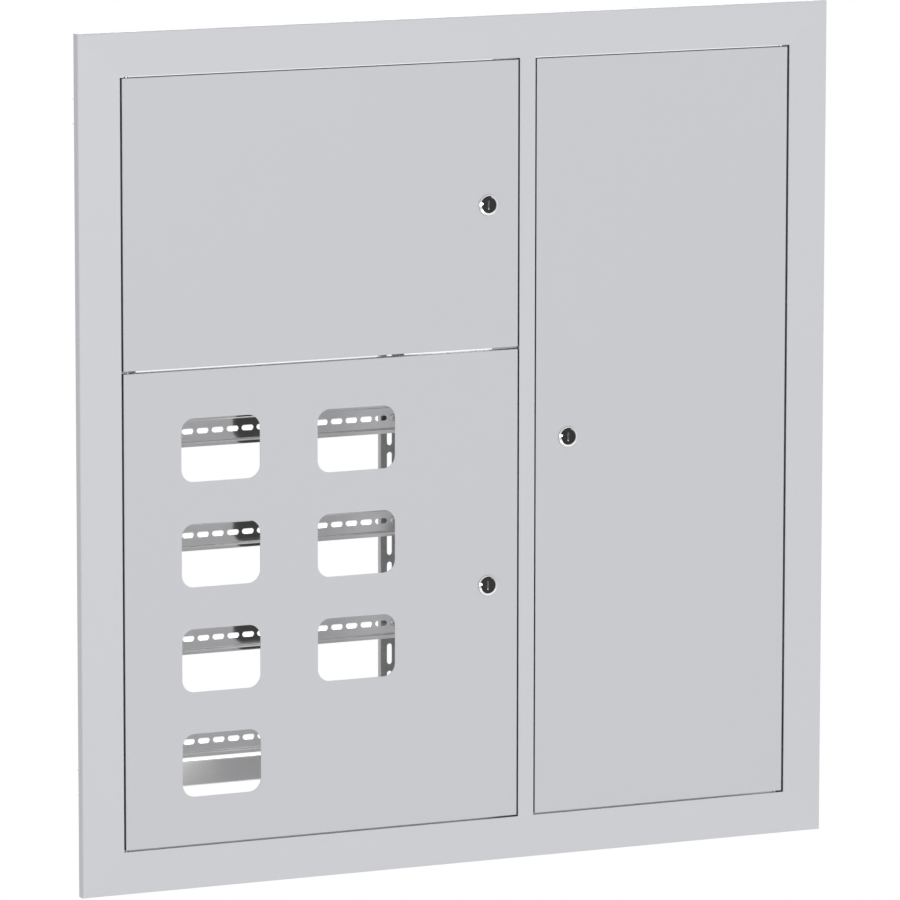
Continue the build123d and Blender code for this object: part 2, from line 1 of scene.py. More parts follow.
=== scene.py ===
# %% [markdown]
# # A wall distribution cabinet, dressed over its working model
# The cabinet is a folded steel front that covers a recess in a wall. Three doors hang in it, and an open
# frame of channels and slotted rails stands behind them. The working model brings every piece at its real
# size, so this lesson adds what only a picture needs: finishes, threads, recesses, light and a camera.

# %% Load the working model
import bpy
import bmesh
import json
import math
from functools import partial
from mathutils import Matrix, Vector


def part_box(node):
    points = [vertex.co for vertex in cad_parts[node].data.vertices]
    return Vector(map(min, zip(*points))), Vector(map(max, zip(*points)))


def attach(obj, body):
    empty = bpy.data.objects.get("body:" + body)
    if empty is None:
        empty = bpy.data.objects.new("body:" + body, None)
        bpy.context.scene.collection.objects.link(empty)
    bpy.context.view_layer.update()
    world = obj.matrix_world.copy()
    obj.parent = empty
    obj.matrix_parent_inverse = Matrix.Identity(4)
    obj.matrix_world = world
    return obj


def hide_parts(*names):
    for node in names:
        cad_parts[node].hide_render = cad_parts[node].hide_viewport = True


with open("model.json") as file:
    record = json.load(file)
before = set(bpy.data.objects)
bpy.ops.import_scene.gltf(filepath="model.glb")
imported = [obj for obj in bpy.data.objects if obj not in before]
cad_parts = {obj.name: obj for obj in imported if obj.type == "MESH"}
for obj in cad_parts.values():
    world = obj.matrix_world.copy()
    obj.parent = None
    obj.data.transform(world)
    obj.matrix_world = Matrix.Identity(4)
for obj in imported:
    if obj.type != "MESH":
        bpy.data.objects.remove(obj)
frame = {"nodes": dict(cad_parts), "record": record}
for plain in list(bpy.data.materials):
    plain.name = "plain_" + plain.name
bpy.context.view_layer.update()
nodes = frame["nodes"]
MM = 0.001


# %% [markdown]
# ## Sizes read from the frame
# A piece that is added later has to sit where the model says. Every place is therefore read from the box
# of the node that carries it, and nothing is typed twice.

# %% Read the front's place
front_low, front_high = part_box("front_frame")
FRONT_Y = front_low.y


def middle_at(low, high, depth):
    """The middle of a box as seen from the front, at a depth of its own."""
    return (low.x + high.x) / 2, depth, (low.z + high.z) / 2


print("Front face at y =", round(FRONT_Y, 4), "m, front", round(front_high.x - front_low.x, 3), "m wide")


# %% [markdown]
# ## Helpers for graphs
# A material is a small graph of nodes, and so are the world and every Geometry Nodes tree. One helper
# adds a node and fills its inputs in the same line, with sockets of other nodes or with plain values. The
# others name the steps that come back often, which keeps each graph short to read.

# %% Add and combine nodes
def place_node(tree, kind, links=None, **settings):
    """A node with its settings, and with sockets or plain values put on its inputs."""
    node = tree.nodes.new(kind)
    for key, value in settings.items():
        setattr(node, key, value)
    for key, value in (links or {}).items():
        if isinstance(value, bpy.types.NodeSocket):
            tree.links.new(value, node.inputs[key])
        else:
            node.inputs[key].default_value = value
    return node


def combined(tree, operation, *terms):
    """One step of arithmetic between sockets or numbers."""
    return place_node(tree, "ShaderNodeMath", dict(enumerate(terms)), operation=operation).outputs[0]


def spread(tree, value, low, high, start=0.0, stop=1.0):
    """A value that runs from start to stop, spread between low and high."""
    node = place_node(tree, "ShaderNodeMapRange", {
        "Value": value, "From Min": start, "From Max": stop, "To Min": low, "To Max": high})
    return node.outputs["Result"]


# %% Start a material and vary it
NOISE_DETAIL = 3.0


def start_material(name, metallic, roughness):
    """A new material, its tree, its shader and its object coordinates."""
    material = bpy.data.materials.new(name)
    material.use_nodes = True
    tree = material.node_tree
    shader = tree.nodes["Principled BSDF"]
    shader.inputs["Metallic"].default_value = metallic
    shader.inputs["Roughness"].default_value = roughness
    places = tree.nodes.new("ShaderNodeTexCoord").outputs["Object"]
    return material, tree, shader, places


def noise_between(tree, places, scale, low, high):
    """Noise at a scale in cycles for each metre, spread between two values."""
    noise = place_node(tree, "ShaderNodeTexNoise", {
        "Vector": places, "Scale": scale, "Detail": NOISE_DETAIL})
    return spread(tree, noise.outputs["Fac"], low, high)


def tinted(tree, factor, colour):
    """A colour times a factor from another node."""
    scaled = place_node(tree, "ShaderNodeVectorMath", {0: colour, "Scale": factor}, operation="SCALE")
    return scaled.outputs["Vector"]


def bumped(tree, height, shader, distance):
    """Small relief for the shader, from a height between 0 and 1."""
    bump = place_node(tree, "ShaderNodeBump", {"Height": height, "Strength": 1.0, "Distance": distance})
    tree.links.new(bump.outputs["Normal"], shader.inputs["Normal"])


# %% [markdown]
# ## Powder coat
# The front and the doors are sprayed with a light grey powder that melts into a skin with a slight orange
# peel. The peel is a noise about a millimetre across, used as relief and never as colour. A second, much
# wider noise moves the tone by about one part in a hundred, as a real coat does over a large sheet. The
# doors come out a shade darker, so they have a coat of their own. The joints around the doors look nearly
# black: an Ambient Occlusion node finds what is closed in within a few millimetres, and the coat's colour
# is darkened there. That darkening is painted shade, added to the shade that the light itself gives.

# %% Make the powder coats
COAT_FRONT = (0.620, 0.631, 0.656)
COAT_DOORS = (0.588, 0.597, 0.622)
COAT_ROUGHNESS = 0.45
TONE_SCALE = 2.2
TONE_RANGE = (0.99, 1.01)
PEEL_SCALE = 620.0
PEEL_HEIGHT = 0.012 * MM
# Reach, rays, darkest factor and openness of the painted shade in the joints
JOINT_REACH = 6.0 * MM
JOINT_RAYS = 8
JOINT_PAINTED_SHADE = 0.12
JOINT_OPENNESS = (0.40, 0.72)


def painted_joint_shade(tree):
    """Painted shade: a factor that is 1 on an open face and small inside the joints around the doors."""
    closed = place_node(tree, "ShaderNodeAmbientOcclusion", {"Distance": JOINT_REACH}, samples=JOINT_RAYS)
    return spread(tree, closed.outputs["AO"], JOINT_PAINTED_SHADE, 1.0, *JOINT_OPENNESS)


def powder_coat(name, colour):
    material, tree, shader, places = start_material(name, 0.0, COAT_ROUGHNESS)
    tone = noise_between(tree, places, TONE_SCALE, *TONE_RANGE)
    # Painted shade in the joints darkens the coat's colour, on top of its random tone
    both = combined(tree, "MULTIPLY", tone, painted_joint_shade(tree))
    tree.links.new(tinted(tree, both, colour), shader.inputs["Base Color"])
    peel = noise_between(tree, places, PEEL_SCALE, 0.0, 1.0)
    bumped(tree, peel, shader, PEEL_HEIGHT)
    return material


enclosure_paint = powder_coat("enclosure_paint", COAT_FRONT)
door_paint = powder_coat("door_paint", COAT_DOORS)
print("Made", enclosure_paint.name, "and", door_paint.name)


# %% [markdown]
# ## Bare metals
# Everything behind the doors is plated steel. Bright zinc on cold rolled strip is nearly a mirror with
# fine lines along the way it was rolled, so the roughness of the rails comes from a noise that is
# stretched along X. Galvanised sheet has soft crystals instead, which a Voronoi pattern gives. The
# uprights and the cross channels are the same galvanised sheet, made here in two copies: the copy on the
# uprights is darker, as painted shade, and the copy on the cross channels lighter, as painted light. The
# zinc of the screws and the chrome of the locks come from the rolled strip's function, with a noise that
# isn't stretched.

# %% Make the rolled and chromed metals
LINES_SCALE = 90.0
STREAKS_SCALE = 60.0
STREAKS = (0.95, 1.04)
ALONG_X = (0.05, 1.0, 1.0)
EVEN = (1.0, 1.0, 1.0)


def rolled_strip(name, colour, roughness, along):
    """A bright metal with fine lines along the way it was rolled."""
    material, tree, shader, places = start_material(name, 1.0, roughness[0])
    rolled = place_node(tree, "ShaderNodeMapping", {"Vector": places, "Scale": along}).outputs["Vector"]
    tree.links.new(noise_between(tree, rolled, LINES_SCALE, *roughness), shader.inputs["Roughness"])
    tone = noise_between(tree, rolled, STREAKS_SCALE, *STREAKS)
    tree.links.new(tinted(tree, tone, colour), shader.inputs["Base Color"])
    return material


rail_zinc = rolled_strip("rail_zinc", (0.74, 0.73, 0.725), (0.05, 0.10), ALONG_X)
fastener_zinc = rolled_strip("fastener_zinc", (0.70, 0.70, 0.70), (0.16, 0.26), EVEN)
lock_chrome = rolled_strip("lock_chrome", (0.76, 0.76, 0.765), (0.10, 0.16), EVEN)
print("Made", [metal.name for metal in (rail_zinc, fastener_zinc, lock_chrome)])

# %% Make the galvanised metals
CRYSTAL_SCALE = 240.0
SHEEN_SCALE = 60.0


def galvanised(name, colour, roughness, contrast):
    """A zinc coat that set in soft crystals."""
    material, tree, shader, places = start_material(name, 1.0, roughness[1])
    crystals = place_node(tree, "ShaderNodeTexVoronoi", {"Vector": places, "Scale": CRYSTAL_SCALE})
    grey = place_node(tree, "ShaderNodeSeparateColor", {"Color": crystals.outputs["Color"]})
    tone = spread(tree, grey.outputs["Red"], 1.0 - contrast, 1.0 + contrast)
    tree.links.new(tinted(tree, tone, colour), shader.inputs["Base Color"])
    tree.links.new(noise_between(tree, places, SHEEN_SCALE, *roughness), shader.inputs["Roughness"])
    return material


# Painted shade and painted light: one galvanised sheet in two copies, darker on the uprights and lighter on
# the cross channels
galvanised_steel = galvanised("galvanised_steel", (0.35, 0.348, 0.348), (0.3, 0.4), 0.06)
channel_zinc = galvanised("channel_zinc", (0.62, 0.613, 0.61), (0.46, 0.50), 0.015)
print("Made", galvanised_steel.name, "and", channel_zinc.name)


# %% [markdown]
# ## Black lock core
# The turning core of a cam lock is cast and blackened, with a satin face that catches a soft highlight.

# %% Make the lock core's finish
CORE_BLACK = (0.016, 0.016, 0.017, 1.0)
CORE_ROUGHNESS = 0.3
CORE_WEAR_SCALE = 900.0
CORE_WEAR = (0.26, 0.4)


def blackened(name):
    material, tree, shader, places = start_material(name, 0.0, CORE_ROUGHNESS)
    shader.inputs["Base Color"].default_value = CORE_BLACK
    worn = noise_between(tree, places, CORE_WEAR_SCALE, *CORE_WEAR)
    tree.links.new(worn, shader.inputs["Roughness"])
    return material


lock_black = blackened("lock_black")
print("Made", lock_black.name)


# %% [markdown]
# ## Put the finishes on the working model
# The record already says which finish each node has, so the script follows that list. Only the doors and
# the cross channels differ from it: the doors have a coat of their own, and the cross channels a lighter
# copy of the galvanised finish, as painted light.

# %% Assign finishes
FINISHES = {finish.name: finish for finish in (
    enclosure_paint, rail_zinc, galvanised_steel, fastener_zinc, lock_chrome, lock_black)}
# The doors get their own coat; the cross channels get a lighter galvanised copy, as painted light
OWN_TONE_AND_PAINTED_LIGHT = {"door_1": door_paint, "door_2": door_paint, "door_3": door_paint,
             "cross_channel_bottom": channel_zinc, "cross_channel_top": channel_zinc}
for part in frame["record"]["subparts"]:
    mesh = nodes[part["node"]].data
    mesh.materials.clear()
    mesh.materials.append(OWN_TONE_AND_PAINTED_LIGHT.get(part["node"], FINISHES[part["material_slot"]]))


# %% [markdown]
# ## Helpers for Geometry Nodes
# What repeats or follows a rule is grown by a node tree. A tree has a named input for each size, and it
# always ends the same way: instances are made real, points that meet are welded, and the finish is set.
# Its result is kept as a plain mesh, so no modifier is left on a finished piece.

# %% Start and end a tree
WELD = 1e-6


def new_tree(name, sizes):
    """A tree with a mesh output and a named input for each size."""
    tree = bpy.data.node_groups.new(name, "GeometryNodeTree")
    tree.interface.new_socket("Mesh", in_out="OUTPUT", socket_type="NodeSocketGeometry")
    for label, kind in sizes.items():
        tree.interface.new_socket(label, in_out="INPUT", socket_type="NodeSocket" + kind)
    return tree, tree.nodes.new("NodeGroupInput").outputs, tree.nodes.new("NodeGroupOutput")


def joined(tree, *shapes):
    """Several shapes as one."""
    whole = place_node(tree, "GeometryNodeJoinGeometry")
    for shape in shapes:
        tree.links.new(shape, whole.inputs[0])
    return whole.outputs[0]


def ended(tree, shape, finish, result):
    """Real geometry, welded, with its finish on it, as the tree's result."""
    real = place_node(tree, "GeometryNodeRealizeInstances", {"Geometry": shape})
    welded = place_node(tree, "GeometryNodeMergeByDistance", {
        "Geometry": real.outputs[0], "Distance": WELD})
    dressed = place_node(tree, "GeometryNodeSetMaterial", {
        "Geometry": welded.outputs[0], "Material": finish})
    tree.links.new(dressed.outputs[0], result.inputs[0])


# %% Run a tree
def grown(name, tree, values):
    """Run a tree once and return what it makes as a plain mesh."""
    seed = bpy.data.objects.new(name + "_seed", bpy.data.meshes.new(name + "_seed"))
    bpy.context.scene.collection.objects.link(seed)
    modifier = seed.modifiers.new("tree", "NODES")
    modifier.node_group = tree
    for item in tree.interface.items_tree:
        if item.in_out == "INPUT":
            modifier[item.identifier] = values[item.name]
    bpy.context.view_layer.update()
    made = seed.evaluated_get(bpy.context.evaluated_depsgraph_get())
    mesh = bpy.data.meshes.new_from_object(made)
    bpy.data.objects.remove(seed)
    mesh.name = name
    return mesh


# %% [markdown]
# ## Geometry Nodes: a slotted plate
# Rails and uprights each have a row of round-ended slots. A node tree draws it: a rectangle and a row of
# slot outlines are filled as one flat shape, so the slots stay open, and the face is then given its
# thickness. One tree makes all eight pieces. Cutting the slots with Boolean would give the same shape,
# but slowly and with untidy faces. A slot's ends are rounded by a hair less than half its width, so that
# no points meet.

# %% Draw the slots
END_STEPS = 8
NEARLY_HALF = 0.4999


def slot_outline(tree, given):
    """One slot with round ends, as a closed line."""
    slot = place_node(tree, "GeometryNodeCurvePrimitiveQuadrilateral", {
        "Width": given["Slot Length"], "Height": given["Slot Width"]})
    end_radius = combined(tree, "MULTIPLY", given["Slot Width"], NEARLY_HALF)
    return place_node(tree, "GeometryNodeFilletCurve", {
        "Curve": slot.outputs[0], "Radius": end_radius, "Count": END_STEPS}, mode="POLY").outputs[0]


def slot_row(tree, given):
    """All the slots, in a row along the piece."""
    outline = slot_outline(tree, given)
    start = place_node(tree, "ShaderNodeCombineXYZ", {"X": given["First"]})
    step = place_node(tree, "ShaderNodeCombineXYZ", {"X": given["Pitch"]})
    row = place_node(tree, "GeometryNodeMeshLine", {
        "Count": given["Slots"], "Start Location": start.outputs[0], "Offset": step.outputs[0]})
    slots = place_node(tree, "GeometryNodeInstanceOnPoints", {"Points": row.outputs[0], "Instance": outline})
    return place_node(tree, "GeometryNodeRealizeInstances", {"Geometry": slots.outputs[0]}).outputs[0]


# %% Build the slotted plate's tree
def slotted_plate_tree():
    sizes = dict.fromkeys(
        ("Length", "Width", "Sheet", "Slot Length", "Slot Width", "Pitch", "First"), "Float")
    tree, given, result = new_tree("slotted_plate", {**sizes, "Slots": "Int", "Finish": "Material"})
    edge = place_node(tree, "GeometryNodeCurvePrimitiveQuadrilateral", {
        "Width": given["Length"], "Height": given["Width"]})
    lines = joined(tree, edge.outputs[0], slot_row(tree, given))
    face = place_node(tree, "GeometryNodeFillCurve", {"Curve": lines}, mode="TRIANGLES")
    thick = place_node(tree, "GeometryNodeExtrudeMesh", {
        "Mesh": face.outputs[0], "Offset Scale": given["Sheet"], "Individual": False})
    back = place_node(tree, "GeometryNodeFlipFaces", {"Mesh": face.outputs[0]})
    ended(tree, joined(tree, thick.outputs[0], back.outputs[0]), given["Finish"], result)
    return tree


slotted_plate = slotted_plate_tree()
print("Tree", slotted_plate.name, "has", len(slotted_plate.nodes), "nodes")


# %% [markdown]
# ## Folds beside the plate
# Beside its slotted plate a rail or an upright is a sheet folded along straight lines. Its section is a
# centre line with a round at each fold. The section is given half the sheet's thickness on either side
# and run along the piece. The rounds matter more than their size suggests, because each one catches a
# thin line of light.

# %% Round the folds of a section
FOLD_STEPS = 5


def rounded_line(corners, radius):
    """The corners of a line in a plane, with an arc at each inner corner."""
    line = [Vector(corners[0])]
    for before, here, after in zip(corners, corners[1:], corners[2:]):
        here = Vector(here)
        back = (Vector(before) - here).normalized()
        on = (Vector(after) - here).normalized()
        middle = here + (back + on) * radius
        for step in range(FOLD_STEPS + 1):
            turn = math.pi / 2 * step / FOLD_STEPS
            line.append(middle - on * radius * math.cos(turn) - back * radius * math.sin(turn))
    return line + [Vector(corners[-1])]


print("A fold has", FOLD_STEPS, "steps")

# %% Run a section along a piece
SAME_POINT = 1e-9


def folded_strip(corners, radius, sheet, start, end):
    """Points and faces of a folded sheet between two places along the piece."""
    line = rounded_line(corners, radius)
    ways = [(b - a).normalized() for a, b in zip(line, line[1:]) if (b - a).length > SAME_POINT]
    line = [line[0]] + [b for a, b in zip(line, line[1:]) if (b - a).length > SAME_POINT]
    sides = []
    for index, point in enumerate(line):
        way = (ways[max(index - 1, 0)] + ways[min(index, len(ways) - 1)]).normalized()
        across = Vector((-way.y, way.x)) * sheet / 2
        sides.append((point + across, point - across))
    section = [left for left, right in sides] + [right for left, right in reversed(sides)]
    points = [(start, p.x, p.y) for p in section] + [(end, p.x, p.y) for p in section]
    count = len(section)
    faces = [(i, (i + 1) % count, (i + 1) % count + count, i + count) for i in range(count)]
    for i in range(len(sides) - 1):
        ends = (i, i + 1, count - 2 - i, count - 1 - i)
        faces += [ends, tuple(corner + count for corner in reversed(ends))]
    return points, faces


def both_walls(corners, radius, sheet, length):
    """The folded strip on one side of a piece, and its mirror image on the other."""
    points, faces = [], []
    for side in (1.0, -1.0):
        wall = [(depth, side * out) for depth, out in corners]
        more, new = folded_strip(wall, radius, sheet, -length / 2, length / 2)
        faces += [tuple(corner + len(points) for corner in face) for face in new]
        points += more
    return points, faces


# %% Join a plate and its folds
SHEET_SHARP = math.radians(28)


def add_faces(solid, points, faces):
    """Put points and faces into a mesh that is being edited."""
    made = [solid.verts.new(point) for point in points]
    for face in faces:
        solid.faces.new([made[corner] for corner in face])


def join_up(mesh, folds, place, finish):
    """A plate and its folds as one mesh with one finish, put in place and facing outwards."""
    solid = bmesh.new()
    solid.from_mesh(mesh)
    bmesh.ops.rotate(solid, verts=solid.verts, matrix=Matrix.Rotation(math.pi / 2, 3, "X"))
    add_faces(solid, *folds)
    solid.transform(place)
    bmesh.ops.recalc_face_normals(solid, faces=solid.faces)
    solid.to_mesh(mesh)
    solid.free()
    mesh.materials.clear()
    mesh.materials.append(finish)
    mesh.shade_flat()
    mesh.set_sharp_from_angle(angle=SHEET_SHARP)
    for face in mesh.polygons:
        face.use_smooth = True
    return mesh


def add_piece(name, mesh, body, *stood_for):
    """Link a finished mesh, let it ride and let it stand for its CAD nodes."""
    piece = bpy.data.objects.new(name, mesh)
    bpy.context.scene.collection.objects.link(piece)
    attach(piece, body)
    if stood_for:
        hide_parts(*stood_for)
    return piece


# %% [markdown]
# ## The top-hat rails
# Six rails of standard section, 35 mm high and 7.5 mm deep, carry the devices. On the real thing a strip
# is punched first and rolled to its hat shape after. The same order works here: the slotted plate is the
# base, and two folded strips add the walls and lips.

# %% Make the rails
RAIL_SHEET = 1.0 * MM
RAIL_FOLD = 1.3 * MM
RAIL_SLOT = (15.0 * MM, 6.2 * MM)
RAIL_SLOTS = 21
HAT_SHARE = 27.0 / 35.0


def rail(node):
    """One rail, from the box of its CAD node."""
    low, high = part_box(node)
    length, depth, height = high - low
    wall = height * HAT_SHARE / 2 - RAIL_SHEET / 2
    back, front = -RAIL_SHEET / 2, RAIL_SHEET / 2 - depth
    pitch = length / RAIL_SLOTS
    plate = grown(node + "_look", slotted_plate, {
        "Length": length, "Width": 2 * (wall - RAIL_FOLD), "Sheet": RAIL_SHEET,
        "Slot Length": RAIL_SLOT[0], "Slot Width": RAIL_SLOT[1], "Pitch": pitch,
        "First": (pitch - length) / 2, "Slots": RAIL_SLOTS, "Finish": rail_zinc})
    corners = [(back, wall - RAIL_FOLD), (back, wall), (front, wall), (front, height / 2)]
    folds = both_walls(corners, RAIL_FOLD, RAIL_SHEET, length)
    place = Matrix.Translation(middle_at(low, high, high.y))
    return add_piece(node + "_look", join_up(plate, folds, place, rail_zinc), "frame", node)


RAILS = [f"mounting_rail_{number}" for number in range(1, 7)]
rails = [rail(node) for node in RAILS]
print("Rails:", len(rails), "faces each:", len(rails[0].data.polygons))


# %% [markdown]
# ## The uprights
# An upright is a channel, open to the front, with longer slots, so that a rail can be fixed at any
# height. It comes out of the same tree with other numbers, stood on end.

# %% Make the uprights
UPRIGHT_SHEET = 1.2 * MM
UPRIGHT_FOLD = 1.4 * MM
UPRIGHT_SLOT = (24.6 * MM, 6.5 * MM)
UPRIGHT_PITCH = 32.9 * MM
UPRIGHT_FIRST = -369.3 * MM
UPRIGHT_SLOTS = 23


def upright(node):
    """One upright, from the box of its CAD node."""
    low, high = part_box(node)
    width, depth, length = high - low
    flange = width / 2 - UPRIGHT_SHEET / 2
    back = -UPRIGHT_SHEET / 2
    plate = grown(node + "_look", slotted_plate, {
        "Length": length, "Width": 2 * (flange - UPRIGHT_FOLD), "Sheet": UPRIGHT_SHEET,
        "Slot Length": UPRIGHT_SLOT[0], "Slot Width": UPRIGHT_SLOT[1], "Pitch": UPRIGHT_PITCH,
        "First": UPRIGHT_FIRST, "Slots": UPRIGHT_SLOTS, "Finish": galvanised_steel})
    corners = [(back, flange - UPRIGHT_FOLD), (back, flange), (-depth, flange)]
    folds = both_walls(corners, UPRIGHT_FOLD, UPRIGHT_SHEET, length)
    stood_up = Matrix.Rotation(-math.pi / 2, 4, "Y")
    place = Matrix.Translation(((low.x + high.x) / 2, high.y, 0.0)) @ stood_up
    return add_piece(node + "_look", join_up(plate, folds, place, galvanised_steel), "frame", node)


uprights = [upright(node) for node in ("upright_left", "upright_right")]
print("Uprights:", len(uprights), "faces each:", len(uprights[0].data.polygons))


# %% [markdown]
# ## Geometry Nodes: a thread
# A thread follows a rule too: the radius depends only on how far along and how far round a point is. A
# flat grid is bent into a rod by that rule, and the ridge comes from one wave that climbs by a pitch for
# each turn. The same tree cuts the two flats of a lock barrel and leaves a bore where one is asked for.
# The grid has three rows before and after those of the thread: one turns in to the bore at each end, and
# the last goes back through the bore. Rows are told apart by limits halfway between their numbers.

# %% Number the rows of the grid
EXTRA_ROWS = 3.0


def numbered_grid(tree, given):
    """A flat grid, the number of each point's row, and its share of the way round."""
    calc = partial(combined, tree)
    grid = place_node(tree, "GeometryNodeMeshGrid", {
        "Size X": 1.0, "Size Y": 1.0, "Vertices X": calc("ADD", given["Rows"], EXTRA_ROWS + 1.0),
        "Vertices Y": calc("ADD", given["Sides"], 1.0)})
    position = place_node(tree, "GeometryNodeInputPosition").outputs[0]
    spot = place_node(tree, "ShaderNodeSeparateXYZ", {"Vector": position})
    last_row = calc("ADD", given["Rows"], EXTRA_ROWS)
    row = calc("MULTIPLY", calc("ADD", spot.outputs["X"], 0.5), last_row)
    return grid.outputs[0], row, calc("ADD", spot.outputs["Y"], 0.5)


def row_places(tree, given, row):
    """How far along the thread a row is, its real depth, and 1 where it belongs to the bore."""
    calc = partial(combined, tree)
    share = calc("DIVIDE", calc("SUBTRACT", row, 1.0), given["Rows"])
    share = place_node(tree, "ShaderNodeClamp", {"Value": share}).outputs[0]
    along = calc("MULTIPLY", share, given["Length"])
    closing = calc("GREATER_THAN", row, calc("ADD", given["Rows"], 2.5))
    depth = calc("MULTIPLY", along, calc("SUBTRACT", 1.0, closing))
    near_end = calc("LESS_THAN", row, 0.5)
    far_end = calc("GREATER_THAN", row, calc("ADD", given["Rows"], 1.5))
    return along, depth, calc("MAXIMUM", near_end, far_end)


# %% Build the thread's tree
SMALLEST_COSINE = 0.001


def outer_radius(tree, given, along, turn, angle):
    """The radius of the thread, or of a flat where the flat is nearer."""
    calc = partial(combined, tree)
    climb = calc("ADD", calc("DIVIDE", along, given["Pitch"]), turn)
    ridge = calc("MULTIPLY", calc("PINGPONG", climb, 0.5), 2.0)
    thread_radius = calc("SUBTRACT", given["Radius"], calc("MULTIPLY", ridge, given["Depth"]))
    level = calc("MAXIMUM", calc("ABSOLUTE", calc("COSINE", angle)), SMALLEST_COSINE)
    flat = calc("DIVIDE", calc("MULTIPLY", given["Flats"], 0.5), level)
    return calc("MINIMUM", thread_radius, flat)


def thread_tree():
    sizes = dict.fromkeys(("Length", "Radius", "Pitch", "Depth", "Flats", "Bore Radius"), "Float")
    tree, given, result = new_tree("thread", {**sizes, "Rows": "Int", "Sides": "Int", "Finish": "Material"})
    calc = partial(combined, tree)
    grid, row, turn = numbered_grid(tree, given)
    along, depth, in_bore = row_places(tree, given, row)
    angle = calc("MULTIPLY", turn, 2 * math.pi)
    outer = outer_radius(tree, given, along, turn, angle)
    inwards = calc("SUBTRACT", given["Bore Radius"], outer)
    radius = calc("ADD", outer, calc("MULTIPLY", inwards, in_bore))
    bent = place_node(tree, "ShaderNodeCombineXYZ", {
        "X": calc("MULTIPLY", radius, calc("COSINE", angle)), "Y": depth,
        "Z": calc("MULTIPLY", radius, calc("SINE", angle))})
    moved = place_node(tree, "GeometryNodeSetPosition", {"Geometry": grid, "Position": bent.outputs[0]})
    ended(tree, moved.outputs[0], given["Finish"], result)
    return tree


thread = thread_tree()
print("Tree", thread.name, "has", len(thread.nodes), "nodes")

# %% Run the thread's tree
# Flats a metre apart cut nothing from any rod
THREAD_SIDES = 20
FLATTENED_SIDES = 60
ROWS_PER_PITCH = 4
THREAD_DEPTH = 0.55
NO_FLATS = 1.0


def threaded(name, length, diameter, pitch, finish, flats=NO_FLATS, bore_radius=0.0):
    """A threaded rod along Y from the origin."""
    return grown(name, thread, {
        "Length": length, "Radius": diameter / 2, "Pitch": pitch, "Depth": THREAD_DEPTH * pitch,
        "Flats": flats, "Bore Radius": bore_radius, "Rows": max(2, round(length / pitch * ROWS_PER_PITCH)),
        "Sides": THREAD_SIDES if flats >= NO_FLATS else FLATTENED_SIDES, "Finish": finish})


# %% [markdown]
# ## Turned shapes
# Heads, nuts and lock rings are turned on a lathe and then given flats or a recess. A helper builds them
# the same way: a list of rows, each with its place along the axis and its radius. A radius may also be a
# rule that depends on the angle, which is how a hexagon, a cross recess or the opening in a lock's lip is
# written.

# %% Turn a shape
def turned(rows, steps):
    """Points and faces of rows of rings about the Y axis, each ring a radius or a rule of the angle."""
    angles = [2 * math.pi * step / steps for step in range(steps)]
    points = []
    for y, radius in rows:
        reach = [radius(angle) if callable(radius) else radius for angle in angles]
        points += [(r * math.cos(a), y, r * math.sin(a)) for r, a in zip(reach, angles)]
    faces = []
    for row in range(len(rows) - 1):
        for step in range(steps):
            on = (step + 1) % steps
            here, after = row * steps, (row + 1) * steps
            faces.append((here + step, here + on, after + on, after + step))
    return points, faces


# %% Rules of the angle
NEARLY_ZERO = 1e-6


def hexagon(across):
    """Radius of a hexagon with a flat at each side."""
    return lambda angle: across / 2 / math.cos((angle + math.pi / 6) % (math.pi / 3) - math.pi / 6)


def smaller(rule, limit):
    """A rule cut off at a radius, as a chamfer does."""
    return lambda angle: min(rule(angle), limit)


def cross(reach, half):
    """Outline of a cross recess, with arms along X and Z."""
    def radius(angle):
        lean = abs((angle + math.pi / 4) % (math.pi / 2) - math.pi / 4)
        return min(reach / math.cos(lean), half / max(math.sin(lean), NEARLY_ZERO))
    return radius


print("A hexagon 8 mm across is", round(2 * hexagon(8.0)(math.pi / 6), 2), "mm from corner to corner")

# %% Weld the parts of a shape
DEGENERATE = 1e-7
TURNED_SHARP = 32.0
NUT_SHARP = 25.0


def welded_mesh(name, parts, finish, smooth_below=TURNED_SHARP):
    """One mesh from points and faces, or from meshes, with closed poles and outward faces."""
    solid = bmesh.new()
    for part in parts:
        if isinstance(part, bpy.types.Mesh):
            solid.from_mesh(part)
        else:
            add_faces(solid, *part)
    bmesh.ops.remove_doubles(solid, verts=solid.verts, dist=WELD)
    bmesh.ops.dissolve_degenerate(solid, edges=solid.edges, dist=DEGENERATE)
    loose = [edge for edge in solid.edges if not edge.link_faces]
    bmesh.ops.delete(solid, geom=loose, context="EDGES")
    bmesh.ops.recalc_face_normals(solid, faces=solid.faces)
    mesh = bpy.data.meshes.new(name)
    solid.to_mesh(mesh)
    solid.free()
    mesh.materials.clear()
    mesh.materials.append(finish)
    for face in mesh.polygons:
        face.material_index = 0
        face.use_smooth = True
    mesh.set_sharp_from_angle(angle=math.radians(smooth_below))
    return mesh


# %% [markdown]
# ## A screw and a nut
# A pan head is domed, with a cross recess that narrows to its foot. Its outline is a list of shares of
# the head's height and width, so one list serves every size. A nut is a hexagon whose corners are turned
# off at both ends, and its bore is opened a little at the end away from its seat, as a tap needs.

# %% Shape a pan head screw
PAN_PROFILE = ((0.0, 0.0), (0.0, 0.5), (0.3, 0.5), (0.55, 0.485), (0.78, 0.44), (0.93, 0.38), (1.0, 0.31))
RECESS_MOUTH = (0.25, 0.055)
RECESS_FOOT = (0.15, 0.04)
RECESS_END = 0.4
HEAD_STEPS = 48


